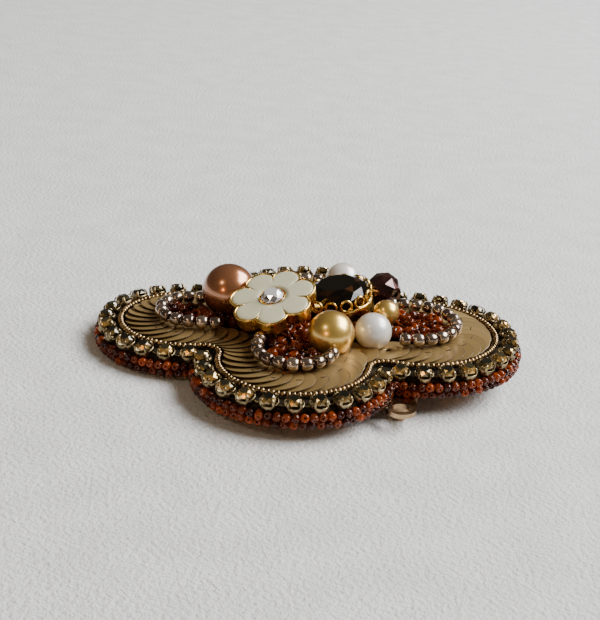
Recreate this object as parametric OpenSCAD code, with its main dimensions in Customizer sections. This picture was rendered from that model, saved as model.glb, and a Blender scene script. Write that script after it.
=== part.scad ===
// A four-lobed felt brooch, embroidered with a cup chain, sequins, beads and pearls.
// It lies on its pin back: the left lobe and the two ends of the pin touch the surface,
// so the whole brooch leans a few degrees about the Y axis.
// Lengths are in millimetres. Tables of four are for the left, front, right and back lobes.

/* [Outline] */
// X of the centre of each lobe
lobe_x = [-16.9, -0.2, 15.4, -0.8]; // [-20:0.1:20]
// Y of the centre of each lobe
lobe_y = [-0.3, -11.5, 2.2, 11.6]; // [-20:0.1:20]
// Radius of the row of cups on each lobe
lobe_r = [11.9, 12.5, 13.8, 12]; // [11:0.1:14]

/* [Felt and leather] */
// Thickness of the leather on the back
leather_t = 1.15; // [1:0.05:1.5]
// Thickness of the felt at its edge
felt_edge_t = 0.9; // [0.8:0.05:1.2]
// Rise of the felt from its edge to its flat middle
felt_rise = 0.5; // [0.3:0.05:0.6]
// Width of the sloped shoulder that carries the cups
shoulder_w = 1.85; // [1.5:0.05:2]

/* [Cup chain] */
// Distance between two cups along the row
cup_pitch = 3.2; // [3:0.05:3.6]
// Outer diameter of a cup
cup_d = 2.4; // [2.2:0.05:2.6]
// Height of a cup's wall
cup_h = 0.55; // [0.4:0.05:0.8]
// Height of the prongs above the foot of the cup
prong_h = 1.35; // [1.2:0.05:1.5]
// Diameter of a chain stone
stone_d = 1.95; // [1.8:0.05:1.95]

/* [Wire and sequins] */
// Diameter of the coiled wire inside the cups
purl_d = 1; // [0.8:0.05:1.1]
// Diameter of a sequin
sequin_d = 6; // [5:0.1:6.2]
// Thickness of a sequin
sequin_t = 0.06; // [0.05:0.01:0.08]
// Lean of each sequin over the next one, in degrees
sequin_lean = 10; // [10:0.5:12]
// Least distance between two sequins along their row
sequin_pitch = 1.95; // [1.95:0.05:2.8]

/* [Bead loops] */
// Diameter of the silvery seed beads
loop_bead_d = 1.8; // [1.6:0.05:1.9]
// Height of the beds of amber beads above the felt
amber_h = 1.4; // [1:0.1:1.8]

/* [Pearls and bead] */
// Diameter of the copper pearl
copper_d = 7.8; // [7:0.1:8]
// Diameter of the gold pearl
gold_d = 6.4; // [6:0.1:6.6]
// Diameter of the white pearl
white_d = 5.2; // [5:0.1:5.4]
// Diameter of the small gold pearl
small_gold_d = 3.8; // [3.5:0.1:4]
// Diameter of the white pearl at the back
back_white_d = 5.3; // [5:0.1:5.3]
// Greatest diameter of the faceted bead
bead_d = 5.6; // [5:0.1:5.6]
// Length of the faceted bead along its hole
bead_len = 4.9; // [4.5:0.1:5.2]

/* [Flower] */
// Distance from the flower's centre to the tip of a petal
flower_r = 6.2; // [5.9:0.1:6.2]
// Depth of the gold casting under the enamel
flower_t = 2.2; // [1.8:0.1:2.2]
// Diameter of the clear stone in the flower
crystal_d = 3.4; // [3.2:0.1:3.6]

/* [Smoky stone] */
// Outer diameter of its setting
gallery_d = 10; // [9.6:0.1:10]
// Height of the setting
gallery_h = 3.6; // [3.4:0.1:3.8]

/* [Pin back] */
// Length of the bar
bar_len = 35; // [30:1:35]
// Width of the bar
bar_w = 4; // [3.6:0.1:4.4]
// Diameter of the pin
pin_d = 0.9; // [0.8:0.05:1]

/* [Hidden] */
$fn = 48;

LEFT = 0;
FRONT = 1;
RIGHT = 2;
BACK = 3;
LOBES = [LEFT, FRONT, RIGHT, BACK];
gap = 0.05;

// Heights of the layers, from the underside of the leather, which is at -leather_drop
leather_drop = 0.3;
leather_top = leather_t - leather_drop;
felt_bottom = leather_top + gap;
felt_edge_top = felt_bottom + felt_edge_t - gap;
felt_top = felt_edge_top + felt_rise;
felt_grow = 0.15;

// Edge beads: an oval tube round the felt and leather
edge_grow = 0.95;
edge_half_w = 0.74;
edge_half_h = 0.8;
edge_z = 0.85;

// Cup chain: cups stand on the shoulder of the felt
cup_grow = -0.45;
cup_lean = atan2(felt_rise, shoulder_w);
cup_foot_z = felt_edge_top + (felt_grow - cup_grow) * tan(cup_lean) + gap;
cup_wall = 0.15;
cup_floor = 0.12;
prong_w = 0.36;
prong_t = 0.18;
prong_in = 0.15;
link_w = 0.5;
link_h = 0.25;
notch_space = 2.4;
stone_girdle_z = 0.92;
stone_crown_h = 0.58;
stone_table_d = 1.15;
stone_point_h = 0.7;
stone_turn = 22.5;

// Rows inside the chain, as growth of the chain's radius (negative is inwards)
purl_grow = -2.35;
purl_step = 2.5;
purl_notch_step = 1.1;
sequin_grow = -5.95;
sequin_hole_d = 0.9;
sequin_z = felt_top + gap + 0.03 + sequin_d / 2 * sin(sequin_lean) + sequin_t / 2;
loop_grow = -7.35;
loop_shift = -0.7;
loop_z = sequin_z + sequin_d / 2 * sin(sequin_lean) + loop_bead_d / 2 + gap;

// Bead loops: first and last angle from the lobe's own direction, and the straight arms
// towards the middle of the brooch that follow them
FIRST = 0;
LAST = 1;
ARM_1 = 2;
ARM_2 = 3;
LOOPS = [[-90, 90, 0.4, 4], [-90, 85, 2.2, 0], [-90, 90, 1.4, 2.2], [-12, 90, 0, 2.6]];
// Straight part of each lobe's bed of amber beads, towards the middle
AMBER_ARM = [10, 5, 10, 3];
// Centre of the bed in the middle, under the flower, and its radius
MIDDLE_BED = [-1.5, -1];
middle_bed_r = 6;

// Pearls and bead: x, y, height of the centre and diameter
PX = 0;
PY = 1;
PZ = 2;
PD = 3;
COPPER = [-11.65, 3.35, felt_top + gap + copper_d / 2, copper_d];
GOLD = [4.25, -7.4, felt_top + gap + gold_d / 2, gold_d];
WHITE = [9.75, -3.9, felt_top + gap + white_d / 2, white_d];
SMALL_GOLD = [11.1, 3.7, felt_top + 0.55 + small_gold_d / 2, small_gold_d];
BACK_WHITE = [3.8, 14.7, felt_top + gap + back_white_d / 2, back_white_d];
BEAD = [10.15, 11.5, felt_top + gap + bead_d / 2, bead_d];
STONE = [4.1, 6.8, felt_top + gallery_h / 2, gallery_d];
PEARLS = [COPPER, GOLD, WHITE, SMALL_GOLD, BACK_WHITE, BEAD];
pearl_hole_d = 0.9;
pearl_turn = 20;
bead_turn = -35;

// Flower: place of the middle of its face, and how the face leans
FLOWER = [-4.53, -3.2, 8.45];
flower_lean = 17.2;
flower_raise = 10.8;
petals = 7;
petal_turn = 20.3;
petal_r = 2.35;
petal_narrower = 0.9;
rim_w = 0.3;
groove_r = 3.8;
groove_w = 0.16;
enamel_t = 0.35;
bezel_h = 0.4;
bezel_w = 0.25;
flower_post_d = 2.4;

// Setting of the smoky stone: place of the middle of its row of loops, and how it leans
SETTING = [3.82, 6.7, 5.84];
setting_lean = 4.5;
setting_raise = 9.8;
loops_round = 14;
loop_turn = 7;
loop_hole_d = 1.25;
loop_ring_d = 2;
gallery_wall = 0.3;
gallery_foot = 0.5;
loop_height = gallery_h - loop_ring_d / 2;

// Pin back: its bar runs along Y, under the right lobe, from notch to notch
pin_x = 14.6;
bar_end_y = -18;
bar_t = 0.6;
bar_z = -leather_drop - gap - bar_t;
bar_hole_d = 2.3;
knuckle_r = 0.9;
knuckle_len = 2.6;
knuckle_from_end = 4.6;
pin_z = bar_z - 1.1;

// Pose: the brooch leans until the leather at its left tip and its pin back both touch the surface
foot_x = lobe_x[LEFT] - lobe_r[LEFT] - felt_grow;
reach_x = pin_x - foot_x;
drop_z = -leather_drop - pin_z;
pose_lean = atan2(drop_z, reach_x) + asin(knuckle_r / norm([reach_x, drop_z]));
pose_lift = knuckle_r - pin_x * sin(pose_lean) - pin_z * cos(pose_lean);
mid_x = (lobe_x[LEFT] - lobe_r[LEFT] + lobe_x[RIGHT] + lobe_r[RIGHT]) / 2 * cos(pose_lean)
        - edge_z * sin(pose_lean);
mid_y = (lobe_y[FRONT] - lobe_r[FRONT] + lobe_y[BACK] + lobe_r[BACK]) / 2;

module posed() {
    translate([-mid_x, -mid_y, pose_lift]) rotate([0, -pose_lean, 0]) children();
}

// Geometry of the outline

function centre(i) = [lobe_x[i], lobe_y[i]];
function direction(i) = atan2(lobe_y[i], lobe_x[i]);
function after(i) = (i + 1) % 4;
function before(i) = (i + 3) % 4;
function wrap(a) = a - 360 * round(a / 360);
function ray(a) = [cos(a), sin(a)];
function heading(v) = atan2(v[1], v[0]);

// Point where the outline of lobe i, grown by g, meets that of the next lobe
function notch(i, g) =
    let (c = centre(i),
         d = centre(after(i)) - c,
         len = norm(d),
         r1 = lobe_r[i] + g,
         r2 = lobe_r[after(i)] + g,
         along = (r1 * r1 - r2 * r2 + len * len) / (2 * len),
         out = sqrt(r1 * r1 - along * along),
         u = d / len)
    c + along * u + out * [u[1], -u[0]];
function first_angle(i, g) = wrap(heading(notch(before(i), g) - centre(i)) - direction(i));
function last_angle(i, g) = wrap(heading(notch(i, g) - centre(i)) - direction(i));
function on_lobe(i, g, a) = centre(i) + (lobe_r[i] + g) * ray(direction(i) + a);

// Skin of a tube through rings of points, open with caps or closed on itself
module tube(rings, closed = false) {
    n = len(rings[0]);
    m = len(rings);
    spans = closed ? m : m - 1;
    side = [for (r = [0 : spans - 1], k = [0 : n - 1])
        let (a = r * n, b = ((r + 1) % m) * n, k2 = (k + 1) % n)
        [a + k, a + k2, b + k2, b + k]];
    caps = closed ? [] : [[for (k = [n - 1 : -1 : 0]) k], [for (k = [0 : n - 1]) (m - 1) * n + k]];
    polyhedron([for (r = rings) each r], concat(side, caps), 4);
}

// Cut stone: a flat table, a row of crown facets, a girdle and a point
module cut_stone(d, table_d, crown_h, point_h, sides) {
    turn = 180 / sides;
    points = concat(
        [for (k = [0 : sides - 1]) [each table_d / 2 * ray(k * 2 * turn + turn), crown_h]],
        [for (k = [0 : sides - 1]) [each d / 2 * ray(k * 2 * turn), 0]],
        [[0, 0, -point_h]]);
    faces = concat(
        [[for (k = [sides - 1 : -1 : 0]) k]],
        [for (k = [0 : sides - 1]) [k, (k + 1) % sides, sides + (k + 1) % sides]],
        [for (k = [0 : sides - 1]) [k, sides + (k + 1) % sides, sides + k]],
        [for (k = [0 : sides - 1]) [sides + k, sides + (k + 1) % sides, 2 * sides]]);
    polyhedron(points, faces);
}

// Cloth layers

module lobes(g) {
    for (i = LOBES) translate(centre(i)) circle(lobe_r[i] + g);
    polygon([for (i = LOBES) notch(i, g)]);
}

module leather_backing() {
    color("saddlebrown")
    posed() translate([0, 0, -leather_drop]) linear_extrude(leather_t) lobes(felt_grow);
}

module felt_base() {
    color("dimgray")
    posed() {
        translate([0, 0, felt_bottom]) linear_extrude(felt_edge_top - felt_bottom) lobes(felt_grow);
        for (i = LOBES)
            translate([each centre(i), felt_edge_top - gap])
            cylinder(h = felt_rise + gap, r1 = lobe_r[i] + felt_grow,
                     r2 = lobe_r[i] + felt_grow - shoulder_w);
        translate([0, 0, felt_edge_top - gap]) linear_extrude(felt_rise + gap)
            lobes(felt_grow - shoulder_w);
    }
}

module edge_beads() {
    sides = 10;
    steps = 18;
    margin = 8;
    section = [for (k = [0 : sides - 1])
        let (a = -90 + k * 360 / sides)
        [edge_grow + edge_half_w * cos(a), edge_z + edge_half_h * sin(a)]];
    rings = [for (i = LOBES)
        let (a1 = first_angle(i, edge_grow) + margin, a2 = last_angle(i, edge_grow) - margin)
        each concat(
            [for (s = [0 : steps])
                let (a = a1 + (a2 - a1) * s / steps)
                [for (p = section) [each on_lobe(i, p[0], a), p[1]]]],
            [[for (p = section) [each notch(i, p[0]), p[1]]]])];
    color("sienna") posed() tube(rings, true);
}

// Cup chain and its stones

function cup_angles(i) =
    let (space = notch_space / lobe_r[i] * 180 / PI,
         a1 = first_angle(i, cup_grow) + space,
         a2 = last_angle(i, cup_grow) - space,
         n = round((a2 - a1) * PI / 180 * lobe_r[i] / cup_pitch))
    [for (k = [0 : n]) a1 + (a2 - a1) * k / n];

module at_cup(i, a) {
    translate([each on_lobe(i, cup_grow, a), cup_foot_z])
    rotate([0, 0, direction(i) + a])
    rotate([0, cup_lean, 0])
    children();
}

// One cup: an eight-sided wall and floor, with a leaning prong on every second side
module cup() {
    sides = 8;
    r_out = cup_d / 2;
    r_in = r_out - cup_wall;
    function corner(r, k, z) = [each r * ray((k - 0.5) * 360 / sides), z];
    function prong_corner(r, side, z) =
        let (a = floor(side / 2) * 90, w = (side % 2 - 0.5) * prong_w)
        [r * cos(a) - w * sin(a), r * sin(a) + w * cos(a), z];
    ks = [0 : sides - 1];
    points = concat(
        [for (k = ks) corner(r_out, k, 0)],
        [for (k = ks) corner(r_out, k, cup_h)],
        [for (k = ks) corner(r_in, k, cup_h)],
        [for (k = ks) corner(r_in, k, cup_floor)],
        [for (j = [0 : 7]) prong_corner(r_out - prong_in, j, prong_h)],
        [for (j = [0 : 7]) prong_corner(r_out - prong_in - prong_t, j, prong_h)]);
    top = 4 * sides;
    faces = concat(
        [[for (k = ks) k]],
        [[for (k = [sides - 1 : -1 : 0]) 3 * sides + k]],
        [for (k = ks, j = [0, 2])
            let (a = j * sides, k2 = (k + 1) % sides)
            [a + k, a + sides + k, a + sides + k2, a + k2]],
        [for (k = ks)
            let (k2 = (k + 1) % sides)
            if (k % 2 != 0) [sides + k, 2 * sides + k, 2 * sides + k2, sides + k2]],
        [for (q = [0 : 3])
            let (o1 = sides + 2 * q, o2 = o1 + 1, i1 = o1 + sides, i2 = o2 + sides,
                 p1 = top + 2 * q, p2 = p1 + 1, s1 = p1 + 8, s2 = p2 + 8)
            each [[o1, p1, p2, o2], [i2, s2, s1, i1], [i1, s1, p1, o1],
                  [o2, p2, s2, i2], [p1, s1, s2, p2]]]);
    rotate([0, 0, 45]) polyhedron(points, faces, 4);
}

module link_end(i, a, i2, a2) {
    away = on_lobe(i2, cup_grow, a2) - on_lobe(i, cup_grow, a);
    turn = heading(away) - direction(i) - a;
    at_cup(i, a) rotate([0, 0, turn])
        translate([cup_d / 2 - cup_wall, -link_w / 2, 0]) cube([cup_wall / 2, link_w, link_h]);
}

module link(i1, a1, i2, a2) {
    hull() {
        link_end(i1, a1, i2, a2);
        link_end(i2, a2, i1, a1);
    }
}

// The links run from wall to wall, so a link starts and ends just inside a cup's wall
module cup_chain() {
    color("darkkhaki")
    posed() for (i = LOBES) {
        angles = cup_angles(i);
        last = len(angles) - 1;
        for (a = angles) at_cup(i, a) cup();
        for (k = [1 : last]) link(i, angles[k - 1], i, angles[k]);
        link(i, angles[last], after(i), cup_angles(after(i))[0]);
    }
}

module chain_stones() {
    color("olive")
    posed() for (i = LOBES, a = cup_angles(i))
        at_cup(i, a) translate([0, 0, stone_girdle_z]) rotate([0, 0, stone_turn])
            cut_stone(stone_d, stone_table_d, stone_crown_h, stone_point_h, 8);
}

// Rows that run parallel to the outline, round each lobe and round each notch

// Places on a lobe, at least that step apart, and the direction outwards from the row at each
function lobe_row(i, grow, step) =
    let (a1 = first_angle(i, 0),
         a2 = last_angle(i, 0),
         n = floor((a2 - a1) * PI / 180 * (lobe_r[i] + grow) / step))
    [for (k = [0 : n]) let (a = a1 + (a2 - a1) * k / n) [on_lobe(i, grow, a), direction(i) + a]];
// The same round the notch after a lobe, between its last place and the first of the next lobe
function notch_row(i, grow, step) =
    let (corner = notch(i, 0),
         b1 = heading(centre(i) - corner),
         turn = wrap(heading(centre(after(i)) - corner) - b1),
         n = floor(abs(turn) * PI / 180 * -grow / step))
    [for (k = [1 : n - 1]) let (b = b1 + turn * k / n) [corner - grow * ray(b), b + 180]];

// Coiled wire: one run from the cut bead round the back, left and front lobes to the right one
module purl_wire() {
    sides = 8;
    path = [for (i = [BACK, LEFT, FRONT, RIGHT]) each concat(
        lobe_row(i, purl_grow, purl_step),
        i == RIGHT ? [] : notch_row(i, purl_grow, purl_notch_step))];
    color("peru")
    // The last place is left out, because the cut bead lies there
    posed() tube([for (j = [0 : len(path) - 2])
        [for (k = [0 : sides - 1])
            let (a = k * 360 / sides)
            [each path[j][0] + purl_d / 2 * cos(a) * ray(path[j][1]),
             felt_top + gap + purl_d / 2 + purl_d / 2 * sin(a)]]]);
}

// Sequins: each leans up in the direction of the row and lies over the next one

// True where a sequin there isn't all under a pearl or under the stone's setting
function sequin_shows(p) =
    min([for (q = PEARLS) norm(p - [q[PX], q[PY]]) - q[PD] / 2]) > -0.2
    && norm(p - [STONE[PX], STONE[PY]]) > STONE[PD] / 2 + sequin_d / 2 - 0.9;

function sequin_row(i) =
    concat(lobe_row(i, sequin_grow, sequin_pitch), notch_row(i, sequin_grow, sequin_pitch));

// A sequin that would run under a pearl is cut off round it
module sequins() {
    color("tan")
    posed() for (i = LOBES, spot = sequin_row(i))
        if (sequin_shows(spot[0]))
            difference() {
                translate([each spot[0], sequin_z])
                rotate([0, 0, spot[1]])
                rotate([sequin_lean, 0, 0])
                difference() {
                    translate([0, 0, -sequin_t / 2]) cylinder(h = sequin_t, d = sequin_d);
                    translate([0, 0, -1]) cylinder(h = 2, d = sequin_hole_d);
                }
                for (q = PEARLS)
                    if (norm(spot[0] - [q[PX], q[PY]]) < (q[PD] + sequin_d) / 2)
                        translate([q[PX], q[PY], q[PZ]]) sphere(d = q[PD] + 2 * gap);
            }
}

// Loops of silvery seed beads, and beds of amber ones inside them

function loop_centre(i) = centre(i) + loop_shift * ray(direction(i));
function loop_r(i) = lobe_r[i] + loop_grow;

module bead_loop(i) {
    sides = 8;
    steps = 10;
    row = LOOPS[i];
    c = loop_centre(i);
    inwards = -ray(direction(i));
    function path_point(a, arm) = c + loop_r(i) * ray(direction(i) + a) + arm * inwards;
    path = concat(
        row[ARM_1] > 0 ? [[path_point(row[FIRST], row[ARM_1]), direction(i) + row[FIRST]]] : [],
        [for (s = [0 : steps])
            let (a = row[FIRST] + (row[LAST] - row[FIRST]) * s / steps)
            [path_point(a, 0), direction(i) + a]],
        row[ARM_2] > 0 ? [[path_point(row[LAST], row[ARM_2]), direction(i) + row[LAST]]] : []);
    color("silver")
    posed() tube([for (p = path)
        [for (k = [0 : sides - 1])
            let (a = k * 360 / sides)
            [each p[0] + loop_bead_d / 2 * cos(a) * ray(p[1]), loop_z + loop_bead_d / 2 * sin(a)]]]);
}

// What the ring of sequins leaves free in the middle of the brooch
module bed_outline() {
    edge = sequin_grow - sequin_d / 2 - 0.1;
    difference() {
        union() {
            polygon([for (i = LOBES) centre(i)]);
            for (i = LOBES) translate(centre(i)) circle(lobe_r[i] + edge);
        }
        for (i = LOBES) translate(notch(i, 0)) circle(-edge);
    }
}

// Beds lie round the pearls, the bead, the stone's setting and the flower's post
module amber_bed() {
    color("maroon")
    posed() difference() {
        translate([0, 0, felt_top + gap]) linear_extrude(amber_h) intersection() {
            bed_outline();
            children();
        }
        for (q = PEARLS) translate([q[PX], q[PY], q[PZ]]) sphere(d = q[PD] + 2 * gap);
        at_setting() translate([0, 0, -gap]) cylinder(h = gallery_h, d = gallery_d + 2 * gap);
        translate([FLOWER[0], FLOWER[1], 0]) cylinder(h = FLOWER[2], d = flower_post_d + 2 * gap);
    }
}

module amber_fill(i) {
    r = loop_r(i) - loop_bead_d / 2 - 0.1;
    amber_bed() difference() {
        translate(loop_centre(i)) rotate(direction(i)) {
            circle(r);
            translate([-AMBER_ARM[i], -r]) square([AMBER_ARM[i], 2 * r]);
        }
        translate(MIDDLE_BED) circle(middle_bed_r + 2 * gap);
    }
}

module amber_fill_middle() {
    amber_bed() translate(MIDDLE_BED) circle(middle_bed_r);
}

// Pearls and the faceted bead

module pearl(q) {
    posed() translate([q[PX], q[PY], q[PZ]]) rotate([0, 90, pearl_turn]) difference() {
        sphere(d = q[PD]);
        cylinder(h = q[PD] + 1, d = pearl_hole_d, center = true);
    }
}

module copper_pearl() { color("sienna") pearl(COPPER); }
module gold_pearl() { color("gold") pearl(GOLD); }
module white_pearl() { color("ivory") pearl(WHITE); }
module small_gold_pearl() { color("goldenrod") pearl(SMALL_GOLD); }
module back_white_pearl() { color("linen") pearl(BACK_WHITE); }

module faceted_bead() {
    sides = 9;
    // Rows of corners: place along the hole and radius, as shares of the bead's half sizes
    rows = [[-1, 0.42], [-0.58, 0.84], [0, 1], [0.58, 0.84], [1, 0.42]];
    last = len(rows) - 1;
    points = [for (r = [0 : last], k = [0 : sides - 1])
        [each rows[r][1] * bead_d / 2 * ray((k + r / 2) * 360 / sides), rows[r][0] * bead_len / 2]];
    faces = concat(
        [[for (k = [0 : sides - 1]) k]],
        [for (r = [0 : last - 1], k = [0 : sides - 1])
            let (a = r * sides, b = a + sides, k2 = (k + 1) % sides)
            each [[a + k, b + k, a + k2], [a + k2, b + k, b + k2]]],
        [[for (k = [sides - 1 : -1 : 0]) last * sides + k]]);
    color("#33141a")
    posed() translate([BEAD[PX], BEAD[PY], BEAD[PZ]])
        rotate([0, 0, bead_turn]) rotate([0, 90, 0])
        difference() {
            polyhedron(points, faces);
            cylinder(h = bead_len + 1, d = pearl_hole_d, center = true, $fn = 12);
        }
}

// Enamelled flower

module at_flower() {
    posed() translate(FLOWER) rotate([flower_lean, 0, 0]) rotate([0, -flower_raise, 0]) children();
}

module at_petal(k) {
    rotate([0, 0, petal_turn + k * 360 / petals]) children();
}

// Outline of the enamel: a round sheet with seven round petals, parted by short pointed grooves
module enamel_outline(inset) {
    centre_r = flower_r - petal_r;
    difference() {
        union() {
            circle(centre_r);
            for (k = [0 : petals - 1]) at_petal(k) translate([centre_r, 0]) circle(petal_r - rim_w - inset);
        }
        for (k = [0 : petals - 1]) at_petal(k + 0.5)
            polygon([[groove_r - inset, 0], [flower_r, -groove_w - inset], [flower_r, groove_w + inset]]);
    }
}

module flower_casting() {
    centre_r = flower_r - petal_r;
    collar_d = crystal_d + 2 * bezel_w;
    color("goldenrod") {
        at_flower() difference() {
            union() {
                for (k = [0 : petals - 1]) at_petal(k) translate([centre_r, 0, -flower_t])
                    cylinder(h = flower_t, r1 = petal_r - petal_narrower, r2 = petal_r);
                translate([0, 0, -flower_t]) cylinder(h = flower_t, r = centre_r);
                cylinder(h = bezel_h, d = collar_d);
            }
            translate([0, 0, -enamel_t]) linear_extrude(enamel_t + 1) difference() {
                enamel_outline(0);
                circle(d = collar_d);
            }
            translate([0, 0, -1]) cylinder(h = 2, d = crystal_d + 2 * gap);
        }
        posed() translate([FLOWER[0], FLOWER[1], felt_top + gap]) cylinder(h = 4.4, d = flower_post_d);
    }
}

module flower_enamel() {
    color("ivory")
    at_flower() translate([0, 0, gap - enamel_t]) linear_extrude(enamel_t) difference() {
        enamel_outline(gap);
        circle(d = crystal_d + 2 * bezel_w + 2 * gap);
    }
}

module flower_crystal() {
    color("white")
    at_flower() translate([0, 0, gap]) cut_stone(crystal_d, crystal_d * 0.55, 0.9, 0.9, 8);
}

// Smoky stone in its pierced setting

// The foot of the setting lies at a height of 0 here
module at_setting() {
    translate(SETTING) rotate([setting_lean, 0, 0]) rotate([0, -setting_raise, 0])
        translate([0, 0, -loop_height]) children();
}

module gallery_setting() {
    color("gold")
    posed() at_setting() difference() {
        cylinder(h = gallery_h, d = gallery_d);
        translate([0, 0, gallery_foot]) cylinder(h = gallery_h, d = gallery_d - 2 * gallery_wall);
        for (k = [0 : loops_round - 1])
            rotate([0, 0, loop_turn + k * 360 / loops_round])
            translate([gallery_d / 2 - 1, 0, loop_height])
            rotate([0, 90, 0]) cylinder(h = 2, d = loop_hole_d);
    }
}

module smoky_stone() {
    sides = 12;
    r = gallery_d / 2 - gallery_wall - gap;
    // Rows of corners from the point to the table: height and radius
    rows = [[-2.2, r * 0.3], [0, r], [0.3, r], [1, r * 0.86], [1.55, r * 0.66]];
    last = len(rows) - 1;
    points = [for (j = [0 : last], k = [0 : sides - 1])
        [each rows[j][1] * ray((k + max(j - 1, 0) / 2) * 360 / sides), rows[j][0]]];
    faces = concat(
        [[for (k = [0 : sides - 1]) k]],
        [for (j = [0 : last - 1], k = [0 : sides - 1])
            let (a = j * sides, b = a + sides, k2 = (k + 1) % sides)
            each [[a + k, b + k, a + k2], [a + k2, b + k, b + k2]]],
        [[for (k = [sides - 1 : -1 : 0]) last * sides + k]]);
    color("#1c1712") posed() at_setting() translate([0, 0, gallery_h - 0.75]) polyhedron(points, faces);
}

// Pin back: bar, flange, knuckle, catch and pin in one piece

module pin_back() {
    knuckle_y = bar_end_y + knuckle_from_end;
    catch_y = bar_end_y + bar_len - knuckle_from_end;
    color("gold")
    posed() translate([pin_x, 0, 0]) {
        difference() {
            translate([0, 0, bar_z]) linear_extrude(bar_t) {
                translate([0, bar_end_y + bar_w / 2]) circle(d = bar_w);
                translate([0, bar_end_y + bar_len - bar_w / 2]) circle(d = bar_w);
                translate([-bar_w / 2, bar_end_y + bar_w / 2]) square([bar_w, bar_len - bar_w]);
            }
            for (y = [bar_end_y + bar_w / 2, bar_end_y + bar_len - bar_w / 2])
                translate([0, y, bar_z - 1]) cylinder(h = bar_t + 2, d = bar_hole_d);
        }
        for (y = [knuckle_y, catch_y]) {
            translate([0, y + knuckle_len / 2, pin_z]) rotate([90, 0, 0])
                cylinder(h = knuckle_len, r = knuckle_r);
            translate([-knuckle_r, y - knuckle_len / 2, pin_z])
                cube([2 * knuckle_r, knuckle_len, bar_z - pin_z + gap]);
        }
        translate([0, catch_y, pin_z]) rotate([90, 0, 0]) cylinder(h = catch_y - knuckle_y, d = pin_d);
        // Ear turned up from the bar's corner that shows below the notch
        translate([0, bar_end_y + bar_w, bar_z]) rotate([90, 0, 0]) linear_extrude(0.5)
            polygon([[0.3, 0], [bar_w / 2, 0], [bar_w / 2, 1.4], [bar_w / 2 - 0.3, 1.4]]);
    }
}

leather_backing();
felt_base();
edge_beads();
cup_chain();
chain_stones();
purl_wire();
sequins();
bead_loop(LEFT);  // bead_loop_left
bead_loop(FRONT);  // bead_loop_front
bead_loop(RIGHT);  // bead_loop_right
bead_loop(BACK);  // bead_loop_back
amber_fill(LEFT);  // amber_fill_left
amber_fill(FRONT);  // amber_fill_front
amber_fill(RIGHT);  // amber_fill_right
amber_fill(BACK);  // amber_fill_back
amber_fill_middle();
copper_pearl();
gold_pearl();
white_pearl();
small_gold_pearl();
back_white_pearl();
faceted_bead();
flower_casting();
flower_enamel();
flower_crystal();
gallery_setting();
smoky_stone();
pin_back();
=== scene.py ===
import math
import random
import bpy
import bmesh
from mathutils import Matrix, Vector


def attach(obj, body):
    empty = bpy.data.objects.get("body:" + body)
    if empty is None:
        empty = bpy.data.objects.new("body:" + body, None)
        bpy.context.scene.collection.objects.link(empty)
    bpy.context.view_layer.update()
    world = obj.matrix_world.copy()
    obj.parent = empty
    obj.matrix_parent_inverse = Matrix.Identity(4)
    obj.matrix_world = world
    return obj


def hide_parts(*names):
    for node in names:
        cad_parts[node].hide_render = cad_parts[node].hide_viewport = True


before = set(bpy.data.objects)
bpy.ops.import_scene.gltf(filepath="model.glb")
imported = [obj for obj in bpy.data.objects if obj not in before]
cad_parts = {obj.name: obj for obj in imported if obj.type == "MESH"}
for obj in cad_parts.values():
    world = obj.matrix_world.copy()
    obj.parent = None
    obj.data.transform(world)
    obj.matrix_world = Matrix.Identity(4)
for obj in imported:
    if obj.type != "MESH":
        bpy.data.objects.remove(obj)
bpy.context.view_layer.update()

# Camera
# The brooch lies on a table and is seen from the front and a little from above, with a long lens.
# Sizes are in the brooch's own millimetres, flat on XY, and LYING puts it on the table, in metres.

# The left, front, right and back lobe: x, y and radius
LOBES = [(-16.9, -0.3, 11.9), (-0.2, -11.5, 12.5), (15.4, 2.2, 13.8), (-0.8, 11.6, 12.0)]
FELT_GROW = 0.15
LEATHER_FOOT = -0.3
RIM_Z = 0.85
PIN_X, PIN_Z, KNUCKLE_R = 14.6, -2.05, 0.9

# It leans until the leather at its left tip and the pin's knuckle both touch the table
reach = PIN_X + FELT_GROW + LOBES[0][2] - LOBES[0][0]
drop = LEATHER_FOOT - PIN_Z
lean = math.atan2(drop, reach) + math.asin(KNUCKLE_R / math.hypot(reach, drop))
lift = KNUCKLE_R - PIN_X * math.sin(lean) - PIN_Z * math.cos(lean)
middle_x = (LOBES[0][0] - LOBES[0][2] + LOBES[2][0] + LOBES[2][2]) / 2
middle_y = (LOBES[1][1] - LOBES[1][2] + LOBES[3][1] + LOBES[3][2]) / 2
on_table = Vector((RIM_Z * math.sin(lean) - middle_x * math.cos(lean), -middle_y, lift))
LYING = Matrix.Translation(on_table * 0.001) @ Matrix.Rotation(-lean, 4, "Y") @ Matrix.Scale(0.001, 4)

# Where the eye is over the flat brooch and how it's turned, and its focal length in the photo's pixels
EYE = Vector((16.41, -163.45, 72.83))
EYE_RIGHT = Vector((0.9912, 0.1239, 0.0457))
EYE_UP = Vector((-0.089, 0.3713, 0.9242))
FOCAL_LENGTH = 1258.4
PHOTO_HEIGHT = 620
eye_turn = Matrix((EYE_RIGHT, EYE_UP, EYE_RIGHT.cross(EYE_UP))).transposed()


def add_object(name, data):
    """A new object in the scene."""
    made = bpy.data.objects.new(name, data)
    bpy.context.scene.collection.objects.link(made)
    return made


camera = add_object("camera", bpy.data.cameras.new("camera"))
camera.matrix_world = (Matrix.Translation(LYING @ EYE)
                       @ (LYING.to_3x3().normalized() @ eye_turn).to_4x4())
camera.data.sensor_fit = "VERTICAL"
camera.data.sensor_height = 36
camera.data.lens = FOCAL_LENGTH * camera.data.sensor_height / PHOTO_HEIGHT
camera.data.clip_start = 0.01
camera.data.clip_end = 20
bpy.context.scene.camera = camera


# Leather back
# Soft brown leather, cut to the four-lobed outline and glued under the felt. Its edge is rounded
# by the knife, and its grain shows when the brooch is turned over.

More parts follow.
